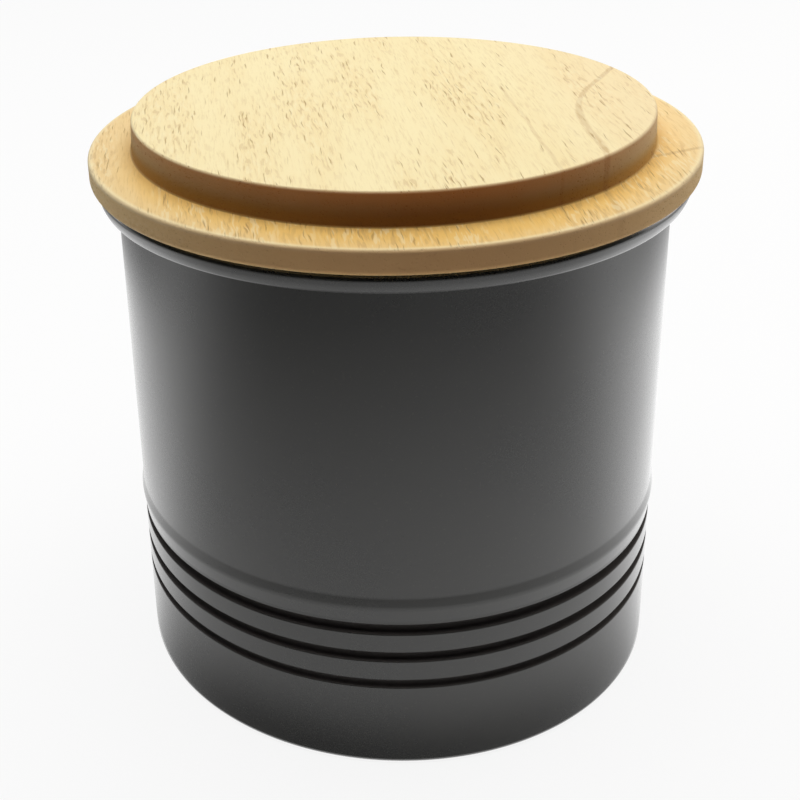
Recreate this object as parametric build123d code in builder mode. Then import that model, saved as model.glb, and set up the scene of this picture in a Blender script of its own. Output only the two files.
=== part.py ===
import os
from build123d import *

os.makedirs("parts", exist_ok=True)

# A round stoneware storage canister with a banded rim, and a stepped wooden lid that plugs into its mouth.
# All sizes are in millimetres. The origin is the middle of the foot ring, with +Z up.

# Stoneware body
body_radius = 66.0
wall_thickness = 5.0
floor_thickness = 6.0
wall_height = 123.3
rim_band_height = 4.6
rim_band_overhang = {"foot": 3.4, "middle": 4.4, "top": 4.7}
rim_band_middle_height = 1.9
rim_cove_radius = 1.4
rim_lower_edge_radius = 1.4
rim_face_radius = 6.0
rim_upper_edge_radius = 1.4
rim_inner_edge_radius = 1.6
inner_corner_radius = 6.0

# Foot ring that the body stands on, with a shallow recess inside it
foot_ring_width = 9.0
foot_recess_depth = 1.8
base_edge_radius = 1.5
foot_inner_edge_radius = 0.7

# Ribbed band: three grooves leave ribs between them, below a soft ridge where the band ends
rib_pitch = 7.65
lowest_groove_height = 23.5
lower_groove = {"width": 1.7, "depth": 1.3, "lip": 0.5}
middle_groove = {"width": 2.0, "depth": 1.6, "lip": 0.5}
upper_groove = {"width": 2.2, "depth": 1.7, "lip": 0.5}
grooves = [lower_groove, middle_groove, upper_groove]
ridge_bottom = 41.0
ridge_crest = 44.7
ridge_top = 47.4
ridge_proud = 0.55
ridge_radius = 4.0

# Wooden lid
lid_rest_gap = 0.3
flange_radius = 72.2
flange_thickness = 5.8
flange_top_rise = 0.5
disc_radius = 61.4
disc_side_draft = 0.4
disc_height = 8.1
disc_cove_radius = 0.5
disc_edge_radius = 0.7
flange_top_edge_radius = 0.8
flange_bottom_edge_radius = 1.5
plug_side_gap = 2.8
plug_depth = 13.0
plug_edge_radius = 1.5
plug_root_radius = 0.8

# Silicone seal in a groove round the plug, with lips that brush the mouth
seal_groove_height = 6.0
seal_groove_depth = 2.6
seal_groove_drop = 2.0
seal_fit_gap = 0.1
seal_band_proud = 0.5
lip_count = 2
lip_root_thickness = 1.4
lip_tip_thickness = 0.8
lip_lift = 0.9
lip_mouth_gap = 0.3
lip_tip_radius = 0.3

# Sizes that follow from the ones above
rim_height = wall_height + rim_band_height
rim_band_radius = {part: body_radius + overhang for part, overhang in rim_band_overhang.items()}
rim_band_middle = wall_height + rim_band_middle_height
mouth_radius = body_radius - wall_thickness
foot_inner_radius = body_radius - foot_ring_width
flange_bottom = rim_height + lid_rest_gap
flange_top = flange_bottom + flange_thickness
lid_top = flange_top + disc_height
plug_bottom = flange_bottom - plug_depth
plug_radius = mouth_radius - plug_side_gap
seal_groove_top = flange_bottom - seal_groove_drop
seal_groove_middle = seal_groove_top - seal_groove_height / 2
seal_groove_radius = plug_radius - seal_groove_depth


def on_wall_at(corner, height):
    """True for a sketch corner on the outside of the wall at this height."""
    return abs(corner.X - body_radius) < 1e-4 and abs(corner.Y - height) < 1e-4


# Body: one thrown and glazed piece, drawn as a half section and turned about Z
with BuildPart() as canister_body:
    with BuildSketch(Plane.XZ) as body_section:
        with BuildLine():
            body_outline = FilletPolyline(
                (0, foot_recess_depth),
                (foot_inner_radius, foot_recess_depth),
                (foot_inner_radius, 0),
                (body_radius, 0),
                (body_radius, ridge_bottom),
                (body_radius + ridge_proud, ridge_crest),
                (body_radius, ridge_top),
                (body_radius, wall_height),
                (rim_band_radius["foot"], wall_height),
                (rim_band_radius["middle"], rim_band_middle),
                (rim_band_radius["top"], rim_height),
                (mouth_radius, rim_height),
                (mouth_radius, floor_thickness),
                (0, floor_thickness),
                radius=[
                    foot_inner_edge_radius,
                    foot_inner_edge_radius,
                    base_edge_radius,
                    ridge_radius,
                    ridge_radius,
                    ridge_radius,
                    rim_cove_radius,
                    rim_lower_edge_radius,
                    rim_face_radius,
                    rim_upper_edge_radius,
                    rim_inner_edge_radius,
                    inner_corner_radius,
                ],
            )
            Line(body_outline @ 1, body_outline @ 0)
        make_face()
        for step, groove in enumerate(grooves):
            height = lowest_groove_height + step * rib_pitch
            half_width = groove["width"] / 2
            groove_radius = (half_width**2 + groove["depth"] ** 2) / (2 * groove["depth"])
            with Locations((body_radius + groove_radius - groove["depth"], height)):
                Circle(groove_radius, mode=Mode.SUBTRACT)
        for step, groove in enumerate(grooves):
            height = lowest_groove_height + step * rib_pitch
            half_width = groove["width"] / 2
            for lip_height in (height - half_width, height + half_width):
                lip = body_section.vertices().filter_by(lambda corner: on_wall_at(corner, lip_height))
                fillet(lip, groove["lip"])
    revolve(axis=Axis.Z)

# Lid: one turned piece, with a raised disc on top, a flange, and a plug grooved for the seal
with BuildPart() as lid:
    with BuildSketch(Plane.XZ):
        with BuildLine():
            lid_outline = FilletPolyline(
                (0, plug_bottom),
                (plug_radius, plug_bottom),
                (plug_radius, flange_bottom),
                (flange_radius, flange_bottom),
                (flange_radius, flange_top),
                (disc_radius + disc_side_draft, flange_top + flange_top_rise),
                (disc_radius, lid_top),
                (0, lid_top),
                radius=[
                    plug_edge_radius,
                    plug_root_radius,
                    flange_bottom_edge_radius,
                    flange_top_edge_radius,
                    disc_cove_radius,
                    disc_edge_radius,
                ],
            )
            Line(lid_outline @ 1, lid_outline @ 0)
        make_face()
        with Locations((plug_radius, seal_groove_middle)):
            Rectangle(2 * seal_groove_depth, seal_groove_height, mode=Mode.SUBTRACT)
    revolve(axis=Axis.Z)

# Seal: a soft ring seated in the plug's groove, its lips bent upwards by the mouth
with BuildPart() as lid_seal:
    with BuildSketch(Plane.XZ) as seal_section:
        band_inner = seal_groove_radius + seal_fit_gap
        band_outer = plug_radius + seal_band_proud
        band_height = seal_groove_height - 2 * seal_fit_gap
        lip_radius = mouth_radius - lip_mouth_gap
        with Locations((band_inner, seal_groove_middle)):
            Rectangle(band_outer - band_inner, band_height, align=(Align.MIN, Align.CENTER))
        for lip in range(lip_count):
            root = seal_groove_middle + band_height * ((lip + 0.5) / lip_count - 0.5)
            tip = root + lip_lift
            with BuildLine():
                Polyline(
                    (band_inner, root - lip_root_thickness / 2),
                    (band_outer, root - lip_root_thickness / 2),
                    (lip_radius, tip - lip_tip_thickness / 2),
                    (lip_radius, tip + lip_tip_thickness / 2),
                    (band_outer, root + lip_root_thickness / 2),
                    (band_inner, root + lip_root_thickness / 2),
                    close=True,
                )
            make_face()
        tips = seal_section.vertices().filter_by(lambda corner: abs(corner.X - lip_radius) < 1e-4)
        fillet(tips, lip_tip_radius)
    revolve(axis=Axis.Z)

canister_body.part.label = "canister_body"
export_step(canister_body.part, "parts/canister_body.step")

lid.part.label = "lid"
export_step(lid.part, "parts/lid.step")

lid_seal.part.label = "lid_seal"
export_step(lid_seal.part, "parts/lid_seal.step")
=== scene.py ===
import math
from types import SimpleNamespace
import bmesh
import bpy
from mathutils import Matrix, Vector


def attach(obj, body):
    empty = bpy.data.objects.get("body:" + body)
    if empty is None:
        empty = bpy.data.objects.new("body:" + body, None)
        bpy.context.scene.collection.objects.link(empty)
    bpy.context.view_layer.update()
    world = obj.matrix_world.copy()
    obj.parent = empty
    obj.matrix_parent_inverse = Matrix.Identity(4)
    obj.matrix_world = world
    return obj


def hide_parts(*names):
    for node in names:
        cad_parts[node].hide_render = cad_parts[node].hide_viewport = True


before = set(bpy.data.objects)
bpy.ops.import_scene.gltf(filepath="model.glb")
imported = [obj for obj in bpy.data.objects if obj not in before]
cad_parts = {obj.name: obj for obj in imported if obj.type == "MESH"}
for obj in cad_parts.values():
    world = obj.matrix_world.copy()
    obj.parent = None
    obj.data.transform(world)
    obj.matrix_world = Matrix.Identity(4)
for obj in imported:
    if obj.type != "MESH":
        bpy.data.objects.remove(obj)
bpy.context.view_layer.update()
mm = 0.001
scene = bpy.context.scene
print("canister: frame loaded")


def addObject(name, data):
    made = bpy.data.objects.new(name, data)
    scene.collection.objects.link(made)
    return made


def addMesh(name, mesh):  # the bmesh becomes an object at the origin
    data = bpy.data.meshes.new(name)
    mesh.to_mesh(data)
    mesh.free()
    return addObject(name, data)


def pulledOut(mesh, edges):  # extrudes the edges and gives the new row of points
    grown = bmesh.ops.extrude_edge_only(mesh, edges=edges)
    return [item for item in grown["geom"] if isinstance(item, bmesh.types.BMVert)]


# Camera, standing where the photograph was taken from, with its angles in degrees
view = {
    "place": (0, -0.32544, 0.24035),
    "pitch": 24.466,
    "swing": 5.2435,
    "roll": -2.7474,
    "lens": 63.736,
    "sensor": 36,
    "shift": (0.1582, -0.1301),
    "nearest": 0.01,
}


def placeCamera():
    data = bpy.data.cameras.new("camera")
    data.lens = view["lens"]
    data.sensor_width = view["sensor"]
    data.shift_x, data.shift_y = view["shift"]
    data.clip_start = view["nearest"]
    swing = Matrix.Rotation(math.radians(view["swing"]), 4, "Z")
    tilt = Matrix.Rotation(math.radians(90 - view["pitch"]), 4, "X")
    roll = Matrix.Rotation(math.radians(view["roll"]), 4, "Z")
    camera = addObject("camera", data)
    camera.matrix_world = Matrix.Translation(view["place"]) @ swing @ tilt @ roll
    scene.camera = camera


placeCamera()
print("canister: camera placed")


class Wire:  # a node's output that can be used in sums
    def __init__(self, finish, socket):
        self.finish = finish
        self.socket = socket

    def sum(self, operation, *values):
        return self.finish.node("ShaderNodeMath", {"operation": operation}, dict(enumerate(values)))

    def __add__(self, other):
        return self.sum("ADD", self, other)

    def __sub__(self, other):
        return self.sum("SUBTRACT", self, other)

    def __rsub__(self, other):
        return self.sum("SUBTRACT", other, self)

    def __mul__(self, other):
        return self.sum("MULTIPLY", self, other)

    def __truediv__(self, other):
        return self.sum("DIVIDE", self, other)

    def __pow__(self, other):
        return self.sum("POWER", self, other)

    __radd__ = __add__
    __rmul__ = __mul__


class Finish:  # the nodes of one material, or of the world
    def __init__(self, holder):
        self.holder = holder
        holder.use_nodes = True
        self.tree = holder.node_tree
        self.tree.nodes.clear()

    def node(self, kind, settings=None, values=None, output=0):
        made = self.tree.nodes.new(kind)
        for key, setting in (settings or {}).items():
            setattr(made, key, setting)
        named = {socket.name: socket for socket in reversed(made.inputs) if socket.enabled}
        for key, value in (values or {}).items():
            socket = named[key] if isinstance(key, str) else made.inputs[key]
            if isinstance(value, Wire):
                self.tree.links.new(value.socket, socket)
            else:
                socket.default_value = value
        results = [socket for socket in made.outputs if socket.enabled]
        if not results:
            return None
        chosen = results[output] if isinstance(output, int) else made.outputs[output]
        return Wire(self, chosen)

    def place(self, turn=0):  # Object coordinates in millimetres, turned about Z
        metres = self.node("ShaderNodeTexCoord", output="Object")
        return self.mapped(metres, (1 / mm,) * 3, turn)

    def mapped(self, vector, scale, turn=0):
        values = {"Vector": vector, "Scale": scale, "Rotation": (0, 0, turn)}
        return self.node("ShaderNodeMapping", None, values)

    def axes(self, vector):
        return [self.node("ShaderNodeSeparateXYZ", None, {"Vector": vector}, axis) for axis in "XYZ"]

    def noise(self, vector, scale, detail, roughness):  # three scales stretch the noise
        if isinstance(scale, tuple):
            vector, scale = self.mapped(vector, scale), 1
        values = {"Vector": vector, "Scale": scale, "Detail": detail, "Roughness": roughness}
        return self.node("ShaderNodeTexNoise", None, values)

    def noises(self, vector, kinds):
        return SimpleNamespace(**{name: self.noise(vector, *kind) for name, kind in kinds.items()})

    def between(self, value, low, high, bottom=0, top=1):
        settings = {"interpolation_type": "SMOOTHSTEP"}
        values = {"Value": value, "From Min": low, "From Max": high, "To Min": bottom, "To Max": top}
        return self.node("ShaderNodeMapRange", settings, values)

    def within(self, value, start, end):  # fades in over the first pair and out over the second
        return self.between(value, *start) * self.between(value, *end)

    def lineAt(self, value, place, width, core=0.35):  # a soft line where the value passes the place
        gap = self.node("ShaderNodeMath", {"operation": "ABSOLUTE"}, {0: value - place})
        return self.between(gap, width, width * core)

    def mixed(self, factor, first, second):
        pair = [value if isinstance(value, Wire) else (*value, 1) for value in (first, second)]
        values = {"Factor": factor, "A": pair[0], "B": pair[1]}
        return self.node("ShaderNodeMix", {"data_type": "RGBA"}, values)

    def bump(self, height, distance, normal=None):  # the distance is in millimetres
        values = {"Height": height, "Distance": distance * mm, "Strength": 1}
        if normal:
            values["Normal"] = normal
        return self.node("ShaderNodeBump", None, values)

    def surface(self, shader, kind="ShaderNodeOutputMaterial"):
        self.node(kind, None, {"Surface": shader})
        return self.holder

    def principled(self, values):
        return self.surface(self.node("ShaderNodeBsdfPrincipled", None, values))


def material(name):
    return Finish(bpy.data.materials.new(name))


def awayFromZ(across, deep):
    return (across * across + deep * deep) ** 0.5


def tone(red, green, blue):  # a colour as a screen shows it, made linear
    shares = [value / 255 for value in (red, green, blue)]
    return tuple(share / 12.92 if share < 0.04045 else ((share + 0.055) / 1.055) ** 2.4 for share in shares)


def darker(colour, share):
    return [value * share for value in colour]


class Outline:  # the half section of a turned piece, drawn in millimetres with the outside on the right
    shortestRun = 0.001
    longestRun = 3
    seamGap = 0.002
    fewestSteps = 3
    bendStep = math.radians(10)

    def __init__(self, radius, height):
        self.mesh = bmesh.new()
        self.tip = self.mesh.verts.new((radius * mm, 0, height * mm))
        self.heading = Vector((0, 0, 1))

    def runTo(self, radius, height):
        way = Vector((radius * mm, 0, height * mm)) - self.tip.co
        if way.length < self.shortestRun * mm:
            return
        self.heading = way.normalized()
        pieces = math.ceil(way.length / (self.longestRun * mm))
        for piece in range(pieces):
            grown = bmesh.ops.extrude_vert_indiv(self.mesh, verts=[self.tip])
            self.tip = grown["verts"][0]
            bmesh.ops.translate(self.mesh, verts=[self.tip], vec=way / pieces)

    def bend(self, rounding, turn):
        side = Vector((-self.heading.z, 0, self.heading.x)) * math.copysign(rounding * mm, turn)
        steps = max(self.fewestSteps, math.ceil(abs(turn) / self.bendStep))
        grown = bmesh.ops.spin(
            self.mesh, geom=[self.tip], cent=self.tip.co + side, axis=(0, -1, 0), angle=turn, steps=steps
        )
        self.tip = [item for item in grown["geom_last"] if isinstance(item, bmesh.types.BMVert)][0]
        self.heading = Matrix.Rotation(turn, 3, (0, -1, 0)) @ self.heading

    def corners(self, rows):  # rows of radius, height and rounding, the last one a plain end
        places = [self.tip.co / mm] + [Vector((row[0], 0, row[1])) for row in rows]
        for before, corner, after, row in zip(places, places[1:], places[2:], rows):
            inward = (corner - before).normalized()
            onward = (after - corner).normalized()
            turn = math.atan2(inward.x * onward.z - inward.z * onward.x, inward.dot(onward))
            rounding = row[2] if len(row) > 2 else 0
            start = corner - inward * rounding * math.tan(abs(turn) / 2)
            self.runTo(start.x, start.z)
            if rounding:
                self.bend(rounding, turn)
        self.runTo(places[-1].x, places[-1].z)

    def groove(self, radius, height, shape):
        half, depth, lip = shape["width"] / 2, shape["depth"], shape["lip"]
        curve = (half**2 + depth**2) / (2 * depth)
        turn = math.acos((curve - depth + lip) / (curve + lip))
        self.runTo(radius, height - (curve + lip) * math.sin(turn))
        self.bend(lip, turn)
        self.bend(curve, -2 * turn)
        self.bend(lip, turn)

    def turned(self, name, steps, grain=None):
        mesh = self.mesh
        section = mesh.verts[:] + mesh.edges[:]
        bmesh.ops.spin(mesh, geom=section, axis=(0, 0, 1), angle=math.tau, steps=steps, use_merge=True)
        bmesh.ops.remove_doubles(mesh, verts=mesh.verts[:], dist=self.seamGap * mm)
        bmesh.ops.recalc_face_normals(mesh, faces=mesh.faces[:])
        for face in mesh.faces:
            face.smooth = True
        if grain:  # how squarely the surface cuts the grain
            mesh.normal_update()
            endGrain = mesh.verts.layers.float.new("endGrain")
            for point in mesh.verts:
                point[endGrain] = abs(point.normal.dot(grain))
        piece = addMesh(name, mesh)
        piece.modifiers.new("evenShading", "WEIGHTED_NORMAL")
        return piece


def dress(piece, node, body, finish):
    piece.data.materials.append(finish)
    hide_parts(node)
    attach(piece, body)


# Stoneware body, in millimetres like the lid and the seal
pot = {
    "radius": 66,
    "wall": 5,
    "floor": 6,
    "wallHeight": 123.3,
    "bandRadii": (69.4, 70.4, 70.7),  # at its foot, at the bulge and at the rim
    "bandBulge": (125.2, 6),  # height and rounding
    "bandCove": 1.4,
    "bandEdges": (1.4, 1.4),  # roundings below and above
    "rim": (127.9, 1.6),  # height and inner rounding
    "insideCorner": 6,
    "footRadius": 57,
    "footRecess": 1.8,
    "footRounding": (0.7, 1.5),  # inside and outside
    "ribPitch": 7.65,
    "lowestGroove": 23.5,
    "grooves": [
        {"width": 1.7, "depth": 1.3, "lip": 0.5},
        {"width": 2.0, "depth": 1.6, "lip": 0.5},
        {"width": 2.2, "depth": 1.7, "lip": 0.5},
    ],
    "softRidge": [(66, 41, 4), (66.55, 44.7, 4), (66, 47.4, 4)],  # radius, height and rounding
    "steps": 288,
}


def drawPot():
    outside, foot, (bandFoot, bandMiddle, bandTop) = pot["radius"], pot["footRadius"], pot["bandRadii"]
    inside, top = outside - pot["wall"], pot["wallHeight"]
    recess, (footInner, footOuter) = pot["footRecess"], pot["footRounding"]
    firstRib = pot["lowestGroove"] - pot["ribPitch"] / 2
    outline = Outline(0, recess)
    outline.corners([
        (foot, recess, footInner),
        (foot, 0, footInner),
        (outside, 0, footOuter),
        (outside, firstRib),
    ])
    for step, shape in enumerate(pot["grooves"]):
        outline.groove(outside, pot["lowestGroove"] + step * pot["ribPitch"], shape)
    rim, rimRounding = pot["rim"]
    bandLow, bandHigh = pot["bandEdges"]
    bulge, bulgeRounding = pot["bandBulge"]
    outline.corners(pot["softRidge"] + [
        (outside, top, pot["bandCove"]),
        (bandFoot, top, bandLow),
        (bandMiddle, bulge, bulgeRounding),
        (bandTop, rim, bandHigh),
        (inside, rim, rimRounding),
        (inside, pot["floor"], pot["insideCorner"]),
        (0, pot["floor"]),
    ])
    return outline.turned("potBody", pot["steps"])


glaze = {
    "charcoal": tone(33, 33, 29),
    "smoke": tone(42, 41, 36),
    # painted light: the grooves' glaze is painted paler than the body, lifting their shade
    "groovePaintedLight": tone(66, 61, 59),
    "thin": tone(74, 68, 60),
    "clay": tone(186, 160, 126),
    "sand": tone(150, 122, 92),
    "noises": {  # scale for each millimetre, detail and roughness, as for every noise below
        "clouds": (0.02, 3, 0.55),
        "speckle": (1.6, 2, 0.6),
        "wheel": ((0.004, 0.004, 0.35), 3, 0.6),
        "skin": (0.35, 2, 0.5),
        "worn": (0.9, 2, 0.5),
        "grit": (2.4, 3, 0.7),
    },
    "cloudEdges": (0.35, 0.68),
    "speckleEdges": (0.62, 0.74),
    "speckleShare": 0.35,
    "gritEdges": (0.4, 0.65),
    "grooveHeights": ((19, 21), (42, 41)),
    "grooveRadii": ((65.98, 65.85), (62.6, 62.8)),
    "bareHeight": (0.75, 0.5),
    "bareRadius": (57.2, 57.6),
    "wornReach": 0.5,
    "gloss": (0.26, 0.34),
    "glossEdges": (0.35, 0.65),
    "glossShares": {"clouds": 0.6, "speckle": 0.4},
    "dullness": {"bare": 0.55, "sunk": 0.6},
    "rippleShares": {"wheel": 0.6, "skin": 0.4},
    "ripple": 0.02,
    "grain": 0.08,
    "coatGloss": 0.14,
    "ior": 1.5,
}


def glazeFinish():
    finish = material("glazedStoneware")
    place = finish.place()
    across, deep, height = finish.axes(place)
    radius = awayFromZ(across, deep)
    noise = finish.noises(place, glaze["noises"])
    clouded = finish.between(noise.clouds, *glaze["cloudEdges"])
    colour = finish.mixed(clouded, glaze["charcoal"], glaze["smoke"])
    speckled = finish.between(noise.speckle, *glaze["speckleEdges"]) * glaze["speckleShare"]
    colour = finish.mixed(speckled, colour, glaze["thin"])
    sunk = finish.within(radius, *glaze["grooveRadii"]) * finish.within(height, *glaze["grooveHeights"])
    # painted light: the grooves are painted paler, lifting their shade
    colour = finish.mixed(sunk, colour, glaze["groovePaintedLight"])
    lowest = finish.between(height + noise.worn * glaze["wornReach"], *glaze["bareHeight"])
    bare = lowest * finish.between(radius, *glaze["bareRadius"])  # the foot ring has no glaze
    grit = finish.between(noise.grit, *glaze["gritEdges"])
    colour = finish.mixed(bare, colour, finish.mixed(grit, glaze["clay"], glaze["sand"]))
    gloss, dullness, waves = glaze["glossShares"], glaze["dullness"], glaze["rippleShares"]
    uneven = noise.clouds * gloss["clouds"] + noise.speckle * gloss["speckle"]
    roughness = finish.between(uneven, *glaze["glossEdges"], *glaze["gloss"])
    roughness = roughness + bare * dullness["bare"] + sunk * dullness["sunk"]
    ripple = finish.bump(noise.wheel * waves["wheel"] + noise.skin * waves["skin"], glaze["ripple"])
    return finish.principled({
        "Base Color": colour,
        "Roughness": roughness,
        "Normal": finish.bump(bare * grit, glaze["grain"], ripple),
        "IOR": glaze["ior"],
        "Coat Weight": (1 - bare) * (1 - sunk),
        "Coat Roughness": glaze["coatGloss"],
        "Coat IOR": glaze["ior"],
    })


potBody = drawPot()
dress(potBody, "canister_body", "canister", glazeFinish())
print("canister: body turned and glazed")

# Wooden lid
lidBoard = {
    "plugRadius": 58.2,
    "plugBottom": 115.2,
    "plugRounding": 1.5,
    "plugRoot": 0.8,
    "sealGroove": (55.6, 120.2, 126.2),  # radius, and heights of its edges
    "sealGrooveRounding": 0.2,
    "flangeRadius": 72.2,
    "flangeHeights": (128.2, 134.0),
    "flangeRoundings": (1.5, 0.8),  # below and above
    "discRadius": 61.4,
    "discDraft": 0.4,
    "discFoot": (134.5, 0.5),  # height and rounding
    "discTop": (142.1, 0.7),  # height and rounding
    "grainTurn": math.radians(8),
    "steps": 288,
}


def drawLid():
    plug = lidBoard["plugRadius"]
    seat, seatLow, seatHigh = lidBoard["sealGroove"]
    seatRounding = lidBoard["sealGrooveRounding"]
    flange, disc = lidBoard["flangeRadius"], lidBoard["discRadius"]
    low, high = lidBoard["flangeHeights"]
    lowRounding, highRounding = lidBoard["flangeRoundings"]
    foot, cove = lidBoard["discFoot"]
    top, edge = lidBoard["discTop"]
    turn = lidBoard["grainTurn"]
    outline = Outline(0, lidBoard["plugBottom"])
    outline.corners([
        (plug, lidBoard["plugBottom"], lidBoard["plugRounding"]),
        (plug, seatLow, seatRounding),
        (seat, seatLow, seatRounding),
        (seat, seatHigh, seatRounding),
        (plug, seatHigh, seatRounding),
        (plug, low, lidBoard["plugRoot"]),
        (flange, low, lowRounding),
        (flange, high, highRounding),
        (disc + lidBoard["discDraft"], foot, cove),
        (disc, top, edge),
        (0, top),
    ])
    grain = Vector((-math.sin(turn), math.cos(turn), 0))
    return outline.turned("lidBoard", lidBoard["steps"], grain)


wood = {
    "cream": tone(250, 234, 185),
    "straw": tone(247, 227, 175),
    # painted highlight, for the flange's top edge and the light streaks
    "highlightTone": tone(252, 240, 200),
    "blush": tone(247, 222, 178),
    # the flange top's colour at the disc's foot, darkened and warmed there as painted shade
    "shadedGold": tone(244, 199, 114),
    "honey": tone(242, 212, 154),
    "line": tone(190, 150, 100),
    "pore": tone(172, 134, 84),
    # end grain on the disc's side, painted darker and redder than on the flange's side as painted shade
    "shadedDiscSide": tone(184, 110, 51),
    "litFlangeSide": tone(214, 165, 114),
    # painted shade in the corner at the disc's foot
    "corner": tone(90, 50, 20),
    "noises": {  # the scales are across, along and down the board
        "drift": ((0.05, 0.012, 0.05), 3, 0.5),
        "bands": ((0.1, 0.011, 0.1), 4, 0.6),
        "fibre": ((2.6, 0.16, 2.6), 3, 0.6),
        "wander": ((0.05, 0.03, 0.05), 3, 0.55),
        "stray": ((0.5, 0.12, 0.5), 2, 0.5),
    },
    "bandEdges": (0.38, 0.64),
    "blushing": {"drift": 40, "places": (35, 95), "share": 0.6},
    # painted shade: the flange top fades from gold at the disc's foot to honey outwards
    "flangeShadeFade": {"slant": 0.12, "bands": 6, "radii": (60, 70)},
    "flangeLevel": (139, 136),
    "fibreEdges": (0.5, 0.8),
    "fibreShare": 0.3,
    "growth": {  # lines of slow growth, with their places in millimetres across or along the board
        "hook": {"slant": 0.05, "drop": 2, "bend": (262, 330), "reach": 27, "wander": 4, "line": (43.5, 1.1)},
        "plain": {"wander": 3, "line": (29.5, 0.6), "end": (12, 4), "share": 0.6},
        "branch": {"slant": 0.44, "wander": 4, "line": (-50.6, 1), "start": (52, 56), "level": (137, 136)},
    },
    "pores": {
        "cell": (0.7, 12, 0.7),
        "straying": 1.8,
        "crowding": {"bands": 0.6, "drift": 0.4, "rings": 0.1, "edges": (0.44, 0.58), "pull": 0.8},
        "flange": {"level": (137, 136), "more": 0.04},  # more pores on the flange
        "right": {"places": (30, 46), "fewer": 0.05},  # and fewer towards the right
        "chance": (0.25, 0),
        "size": (0.3, 0.1),
    },
    "scratches": {
        "noise": ((1.5, 0.17, 1.5), 1, 0.4),
        "dark": (0.57, 0.68),
        # painted highlight: light streaks for an embossed look
        "light": (0.45, 0.36),
        "fewest": 0.25,
        "onSides": 0.2,
    },
    "discWallShade": {  # the side of the disc, painted darker as shade, less so towards the right
        "radii": ((61.2, 61.35), (62.3, 62.1)),
        "heights": ((142, 141.5), (134.4, 134.6)),
        "fade": (-60, 30, 0.6, 0.15),
    },
    "edgeHighlight": {"radii": (70.4, 71.8), "heights": (132.8, 133.4)},  # a painted highlight round the flange's top edge
    "endGrainBend": 1.5,
    "sideLevel": (134.4, 134),
    "cornerShadeHeights": ((142.5, 136.5), (134, 134.4)),
    "cornerShadeShare": 0.85,
    "shares": {"rings": 0.35, "light": 0.35, "dark": 0.32, "pore": 0.6, "worn": 0.5, "side": 0.9},
    "gloss": (0.45, 0.6),
    "glossEdges": (0.3, 0.7),
    "dullness": 0.2,
    "fibreDepth": 0.02,
    "hollows": {"pore": 0.6, "dark": 0.4},
    "hollowDepth": 0.12,
    "ior": 1.3,
    "shine": 0.2,
}


def readBoard(finish):  # places on the board, and the noises that run along its grain
    place = finish.place(-lidBoard["grainTurn"])
    board = finish.noises(place, wood["noises"])
    board.place = place
    board.across, board.along, board.deep = finish.axes(place)
    board.middle = awayFromZ(board.across, board.along)
    return board


def boardTone(finish, board):  # bands of cream and straw on the disc, gold and honey on the flange; the flange is painted more golden than the disc as painted shade and warm bounce light, and the disc paler as a painted sheen
    colour = finish.mixed(finish.between(board.bands, *wood["bandEdges"]), wood["cream"], wood["straw"])
    blush, flangeShadeFade = wood["blushing"], wood["flangeShadeFade"]
    blushed = finish.between(board.across + board.drift * blush["drift"], *blush["places"]) * blush["share"]
    colour = finish.mixed(blushed, colour, wood["blush"])
    # painted shade: gold at the disc's foot, fading to honey towards the flange's edge
    outwards = board.middle + board.along * flangeShadeFade["slant"] + board.bands * flangeShadeFade["bands"]
    flangeTop = finish.mixed(finish.between(outwards, *flangeShadeFade["radii"]), wood["shadedGold"], wood["honey"])
    # the flange painted more golden than the disc top, as painted shade on the flange and painted sheen on
    # the disc
    colour = finish.mixed(finish.between(board.deep, *wood["flangeLevel"]), colour, flangeTop)
    fibred = finish.between(board.fibre, *wood["fibreEdges"]) * wood["fibreShare"]
    return finish.mixed(fibred, colour, wood["line"])


def growthLines(finish, board):
    hook, plain, branch = [wood["growth"][name] for name in ("hook", "plain", "branch")]
    bent = finish.between(board.along + board.deep * hook["drop"], *hook["bend"], 0, hook["reach"])
    way = board.across - board.along * hook["slant"] - bent + board.wander * hook["wander"]
    lines = finish.lineAt(way + board.fibre, *hook["line"])
    way = board.across + board.wander * plain["wander"]
    faint = finish.between(board.along, *plain["end"]) * plain["share"]
    lines = lines + finish.lineAt(way + board.fibre, *plain["line"]) * faint
    way = board.along - board.across * branch["slant"] + board.wander * branch["wander"]
    onFlange = finish.between(board.across, *branch["start"]) * finish.between(board.deep, *branch["level"])
    return lines + finish.lineAt(way + board.fibre, *branch["line"]) * onFlange


def boardSides(finish, board):  # how much end grain shows, and its colour, with painted shade on the disc's side and in the corner, and painted light on the flange's side
    endGrain = finish.node("ShaderNodeAttribute", {"attribute_name": "endGrain"}, None, "Fac")
    cut = endGrain ** wood["endGrainBend"]
    reach = wood["discWallShade"]
    wall = finish.within(board.middle, *reach["radii"]) * finish.within(board.deep, *reach["heights"])
    # painted shade: the disc's wall takes the side colour beyond its end grain, less towards the right
    side = cut + wall * (1 - cut) * finish.between(board.across, *reach["fade"])
    # painted light and shade: end grain on the disc's side is painted darker and redder, and on the flange's
    # side paler as if lit from the floor
    flange = finish.between(board.deep, *wood["sideLevel"])
    colour = finish.mixed(flange, wood["shadedDiscSide"], wood["litFlangeSide"])
    # painted shade: the disc's side darkens towards its foot, in the corner above the flange
    corner = finish.within(board.deep, *wood["cornerShadeHeights"]) * wood["cornerShadeShare"]
    return side, finish.mixed(corner, colour, wood["corner"])


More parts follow.
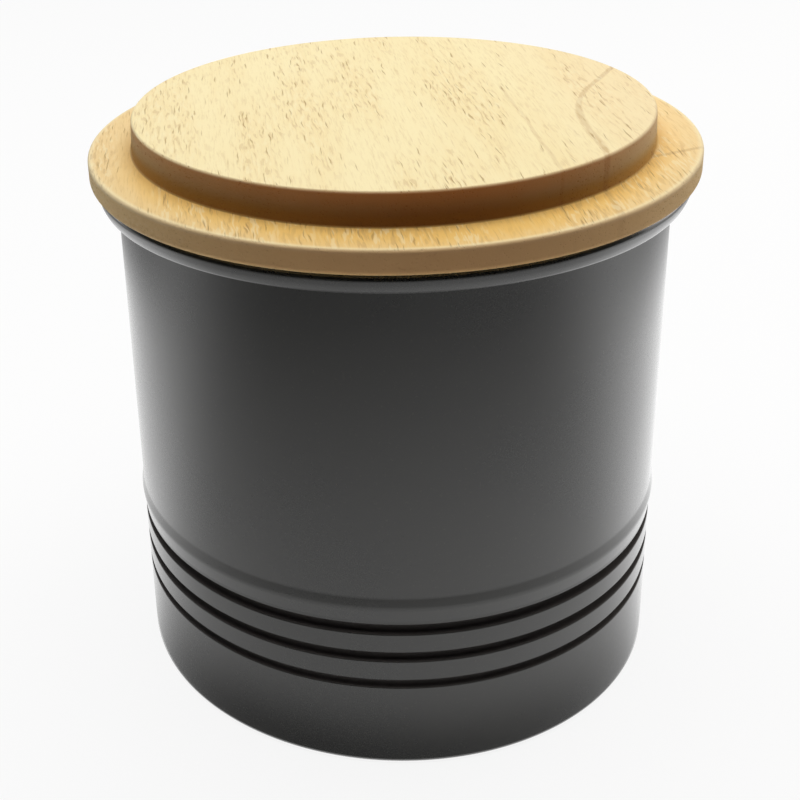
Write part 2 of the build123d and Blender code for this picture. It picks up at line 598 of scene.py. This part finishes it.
def openPores(finish, board, rings, side):  # open pores, dark scratches, and light streaks that are painted highlights
    pores, scratches, crowding = wood["pores"], wood["scratches"], wood["pores"]["crowding"]
    straying = finish.node("ShaderNodeCombineXYZ", None, {"X": board.stray * pores["straying"]})
    way = finish.node("ShaderNodeVectorMath", {"operation": "ADD"}, {0: board.place, 1: straying})
    cells = finish.mapped(way, tuple(1 / size for size in pores["cell"]))
    seed = finish.node("ShaderNodeTexVoronoi", None, {"Vector": cells, "Scale": 1}, "Distance")
    shade = finish.node("ShaderNodeTexVoronoi", None, {"Vector": cells, "Scale": 1}, "Color")
    chance = finish.node("ShaderNodeSeparateColor", None, {"Color": shade}, "Red")
    crowd = board.bands * crowding["bands"] + board.drift * crowding["drift"] + rings * crowding["rings"]
    crowd = crowd + finish.between(board.deep, *pores["flange"]["level"]) * pores["flange"]["more"]
    crowd = crowd - finish.between(board.across, *pores["right"]["places"]) * pores["right"]["fewer"]
    crowd = finish.between(crowd, *crowding["edges"])
    there = finish.between(chance - crowd * crowding["pull"], *pores["chance"])
    pore = finish.between(seed, *pores["size"]) * there
    scratch = finish.noise(way, *scratches["noise"])
    fewest = scratches["fewest"]
    dark = finish.between(scratch, *scratches["dark"]) * (fewest + crowd * (1 - fewest))
    dark = dark * (1 - side * (1 - scratches["onSides"]))
    # painted highlight: light streaks that give the grain an embossed look
    light = finish.between(scratch, *scratches["light"]) * crowd * (1 - side)
    return pore, dark, light


def woodFinish():
    finish = material("oiledWood")
    board = readBoard(finish)
    rings = growthLines(finish, board)
    side, sideTone = boardSides(finish, board)
    pore, dark, light = openPores(finish, board, rings, side)
    # painted highlight round the flange's top edge
    edge = wood["edgeHighlight"]
    worn = finish.between(board.middle, *edge["radii"]) * finish.between(board.deep, *edge["heights"])
    share = wood["shares"]
    colour = boardTone(finish, board)
    colour = finish.mixed(rings * share["rings"], colour, wood["line"])
    # painted highlight: the light streaks
    colour = finish.mixed(light * share["light"], colour, wood["highlightTone"])
    colour = finish.mixed(dark * share["dark"], colour, wood["line"])
    colour = finish.mixed(pore * share["pore"], colour, wood["pore"])
    # painted highlight round the flange's top edge
    colour = finish.mixed(worn * share["worn"], colour, wood["highlightTone"])
    colour = finish.mixed(side * share["side"], colour, sideTone)
    roughness = finish.between(board.fibre, *wood["glossEdges"], *wood["gloss"])
    relief = finish.bump(board.fibre, wood["fibreDepth"])
    level = 1 - pore * wood["hollows"]["pore"] - dark * wood["hollows"]["dark"]
    return finish.principled({
        "Base Color": colour,
        "Roughness": roughness + pore * wood["dullness"] + side * wood["dullness"],
        "Normal": finish.bump(level, wood["hollowDepth"], relief),
        "IOR": wood["ior"],
        "Specular IOR Level": wood["shine"],
    })


lid = drawLid()
dress(lid, "lid", "lid", woodFinish())
print("canister: lid turned and oiled")

# Soft seal in the plug's groove
seal = {
    "bandRadii": (55.7, 58.7),
    "heights": (120.3, 126.1),
    "lipRadius": 60.7,
    "lips": 2,
    "lipRoot": 1.4,
    "lipTip": 0.8,
    "lipLift": 0.9,
    "bandRounding": 0.2,
    "rootRounding": 0.15,
    "tipRounding": 0.3,
    "steps": 256,
}


def drawSeal():
    inner, outer = seal["bandRadii"]
    low, high = seal["heights"]
    root, tip, reach, lift = seal["lipRoot"] / 2, seal["lipTip"] / 2, seal["lipRadius"], seal["lipLift"]
    band, neck, rounding = seal["bandRounding"], seal["rootRounding"], seal["tipRounding"]
    middle = (low + high) / 2
    outline = Outline(inner, middle)
    rows = [(inner, low, band), (outer, low, band)]
    for lip in range(seal["lips"]):
        height = low + (high - low) * (lip + 0.5) / seal["lips"]
        rows += [
            (outer, height - root, neck),
            (reach, height + lift - tip, rounding),
            (reach, height + lift + tip, rounding),
            (outer, height + root, neck),
        ]
    rows += [(outer, high, band), (inner, high, band), (inner, middle)]
    outline.corners(rows)
    return outline.turned("sealRing", seal["steps"])


rubber = {
    "milk": tone(238, 236, 224),
    "haze": tone(224, 222, 208),
    "noises": {"haze": (0.12, 3, 0.5), "dust": (2.2, 2, 0.6)},
    "edges": (0.35, 0.65),
    "gloss": (0.38, 0.55),
    "relief": 0.01,
    "ior": 1.41,
    "softness": 0.3,
    "softReach": (0.004, 0.004, 0.004),
    "clearness": 0.1,
}


def sealFinish():
    finish = material("clearSilicone")
    noise = finish.noises(finish.place(), rubber["noises"])
    hazy = finish.between(noise.haze, *rubber["edges"])
    return finish.principled({
        "Base Color": finish.mixed(hazy, rubber["milk"], rubber["haze"]),
        "Roughness": finish.between(noise.dust, *rubber["edges"], *rubber["gloss"]),
        "Normal": finish.bump(noise.dust, rubber["relief"]),
        "IOR": rubber["ior"],
        "Subsurface Weight": rubber["softness"],
        "Subsurface Radius": rubber["softReach"],
        "Transmission Weight": rubber["clearness"],
    })


sealRing = drawSeal()
dress(sealRing, "lid_seal", "lid", sealFinish())
print("canister: seal moulded")

# Pale studio floor, soft lamps and a white surround, in metres, but with the apron in millimetres
studio = {
    "surround": 0.6,
    "floor": {
        "size": 8,
        "segments": 4,
        "height": -0.0001,
        "tone": (0.94, 0.94, 0.94),
        "grain": (0.4, 3, 0.6),
        "grainTone": 0.9,
        "grainShare": 0.1,
        "glow": 0.88,
    },
    "lamps": {
        "overhead": {
            "place": (0, -0.08, 0.95),
            "aim": (0, 0, 0.1),
            "size": 1.1,
            "power": 8,
            "tone": (1, 1, 1),
        },
        "leftSide": {
            "place": (-0.7, 0.45, 0.3),
            "aim": (0, 0.05, 0.05),
            "size": 0.6,
            "power": 0.35,
            "tone": (1, 1, 1),
        },
        "rightSide": {
            "place": (0.7, 0.45, 0.3),
            "aim": (0, 0.05, 0.05),
            "size": 0.6,
            "power": 1.15,
            "tone": (1, 0.92, 0.82),
        },
    },
    "card": {
        "edge": [(-1.1, 0.5), (-0.3, -0.4), (0.3, -0.4), (0.8, 0.1)],
        "foot": 0.002,
        "reach": (0, 0, 2.4),
        "tone": tone(38, 38, 38),
        "nap": (0.06, 2, 0.6),
        "napTone": 0.8,
    },
    "apron": {
        "radii": (66.6, 700),
        "height": 0.5,
        "segments": 96,
        "tone": 0.7,
        "nearShade": 0.5,
        "nearWidth": 28,
        "nearFacing": (0.2, -0.95, 0.1, 1),
        "frontShade": 0.44,
        "frontReach": (120, 330),
        "frontFacing": (0, -0.8),
        "sideShade": 0.65,
        "sideReach": (220, 340),
        "sideFacing": (-0.4, 0.5),
        "sideLight": 0.3,
        "sideLightFacing": (-0.5, 0.2),
        "lean": (-0.04, 0.13),
    },
}


def seenDirectly(finish):  # 1 for what the camera, a reflection or a clear piece shows, and 0 for light
    kinds = ("Is Camera Ray", "Is Glossy Ray", "Is Transmission Ray")
    camera, glossy, clear = [finish.node("ShaderNodeLightPath", None, None, kind) for kind in kinds]
    return finish.node("ShaderNodeMath", {"operation": "MINIMUM"}, {0: camera + glossy + clear, 1: 1})


def glowing(finish, strength):
    return finish.node("ShaderNodeEmission", None, {"Color": (1, 1, 1, 1), "Strength": strength})


def layFloor():
    floor = studio["floor"]
    mesh = bmesh.new()
    segments = floor["segments"]
    bmesh.ops.create_grid(mesh, x_segments=segments, y_segments=segments, size=floor["size"] / 2)
    bmesh.ops.translate(mesh, verts=mesh.verts[:], vec=(0, 0, floor["height"]))
    made = addMesh("studioFloor", mesh)
    finish = material("paleFloor")
    grain = finish.noise(finish.place(), *floor["grain"])
    dimmed = darker(floor["tone"], floor["grainTone"])
    colour = finish.mixed(grain * floor["grainShare"], floor["tone"], dimmed)
    matt = finish.node("ShaderNodeBsdfDiffuse", None, {"Color": colour})
    share = seenDirectly(finish) * floor["glow"]
    paper = finish.node("ShaderNodeMixShader", None, {0: share, 1: matt, 2: glowing(finish, 1)})
    beneath = finish.node("ShaderNodeNewGeometry", output="Backfacing")  # the floor is clear from below
    clear = finish.node("ShaderNodeBsdfTransparent")
    sheet = finish.node("ShaderNodeMixShader", None, {0: beneath, 1: paper, 2: clear})
    made.data.materials.append(finish.surface(sheet))


def standCard():  # a dark card round the front, which shades the lid's sides
    card = studio["card"]
    mesh = bmesh.new()
    points = [mesh.verts.new((across, deep, card["foot"])) for across, deep in card["edge"]]
    edges = [mesh.edges.new(pair) for pair in zip(points, points[1:])]
    bmesh.ops.translate(mesh, verts=pulledOut(mesh, edges), vec=card["reach"])
    made = addMesh("darkCard", mesh)
    made.visible_camera = False
    finish = material("darkFelt")
    nap = finish.noise(finish.place(), *card["nap"])
    colour = finish.mixed(nap, card["tone"], darker(card["tone"], card["napTone"]))
    made.data.materials.append(finish.surface(finish.node("ShaderNodeBsdfDiffuse", None, {"Color": colour})))


def layApron():  # the soft shading of the floor round the pot, which only the glaze mirrors
    apron = studio["apron"]
    inner, outer = apron["radii"]
    mesh = bmesh.new()
    bmesh.ops.create_circle(mesh, segments=apron["segments"], radius=inner * mm)
    rim = pulledOut(mesh, mesh.edges[:])
    bmesh.ops.scale(mesh, verts=rim, vec=(outer / inner, outer / inner, 1))
    bmesh.ops.translate(mesh, verts=mesh.verts[:], vec=(0, 0, apron["height"] * mm))
    made = addMesh("apron", mesh)
    made.visible_camera = made.visible_diffuse = made.visible_shadow = False
    finish = material("apronShade")
    across, deep = finish.axes(finish.place())[:2]
    away = awayFromZ(across, deep)
    facing = deep / away
    near = finish.between(away, inner, inner + apron["nearWidth"], apron["nearShade"], 0)
    front = finish.between(away, *apron["frontReach"], 0, apron["frontShade"])
    side = finish.between(away, *apron["sideReach"], 0, apron["sideShade"])
    level = apron["tone"] - near * finish.between(facing, *apron["nearFacing"])
    level = level - front * finish.between(facing, *apron["frontFacing"])
    level = level - side * finish.between(facing, *apron["sideFacing"])
    level = level + finish.between(facing, *apron["sideLightFacing"], 0, apron["sideLight"])
    level = level + finish.between(across / away, -1, 1, *apron["lean"])
    made.data.materials.append(finish.surface(glowing(finish, level)))


def lightStudio():
    scene.world = bpy.data.worlds.new("studio")
    finish = Finish(scene.world)
    strength = finish.between(seenDirectly(finish), 0, 1, studio["surround"], 1)
    white = finish.node("ShaderNodeBackground", None, {"Color": (1, 1, 1, 1), "Strength": strength})
    finish.surface(white, "ShaderNodeOutputWorld")
    for name, lamp in studio["lamps"].items():
        data = bpy.data.lights.new(name, "AREA")
        data.shape = "DISK"
        data.size = lamp["size"]
        data.energy = lamp["power"]
        data.color = lamp["tone"]
        made = addObject(name, data)
        made.location = lamp["place"]
        away = Vector(lamp["place"]) - Vector(lamp["aim"])
        made.rotation_euler = away.to_track_quat("Z", "Y").to_euler()


layFloor()
standCard()
layApron()
lightStudio()
scene.view_settings.view_transform = "Standard"
print("canister: studio lit")
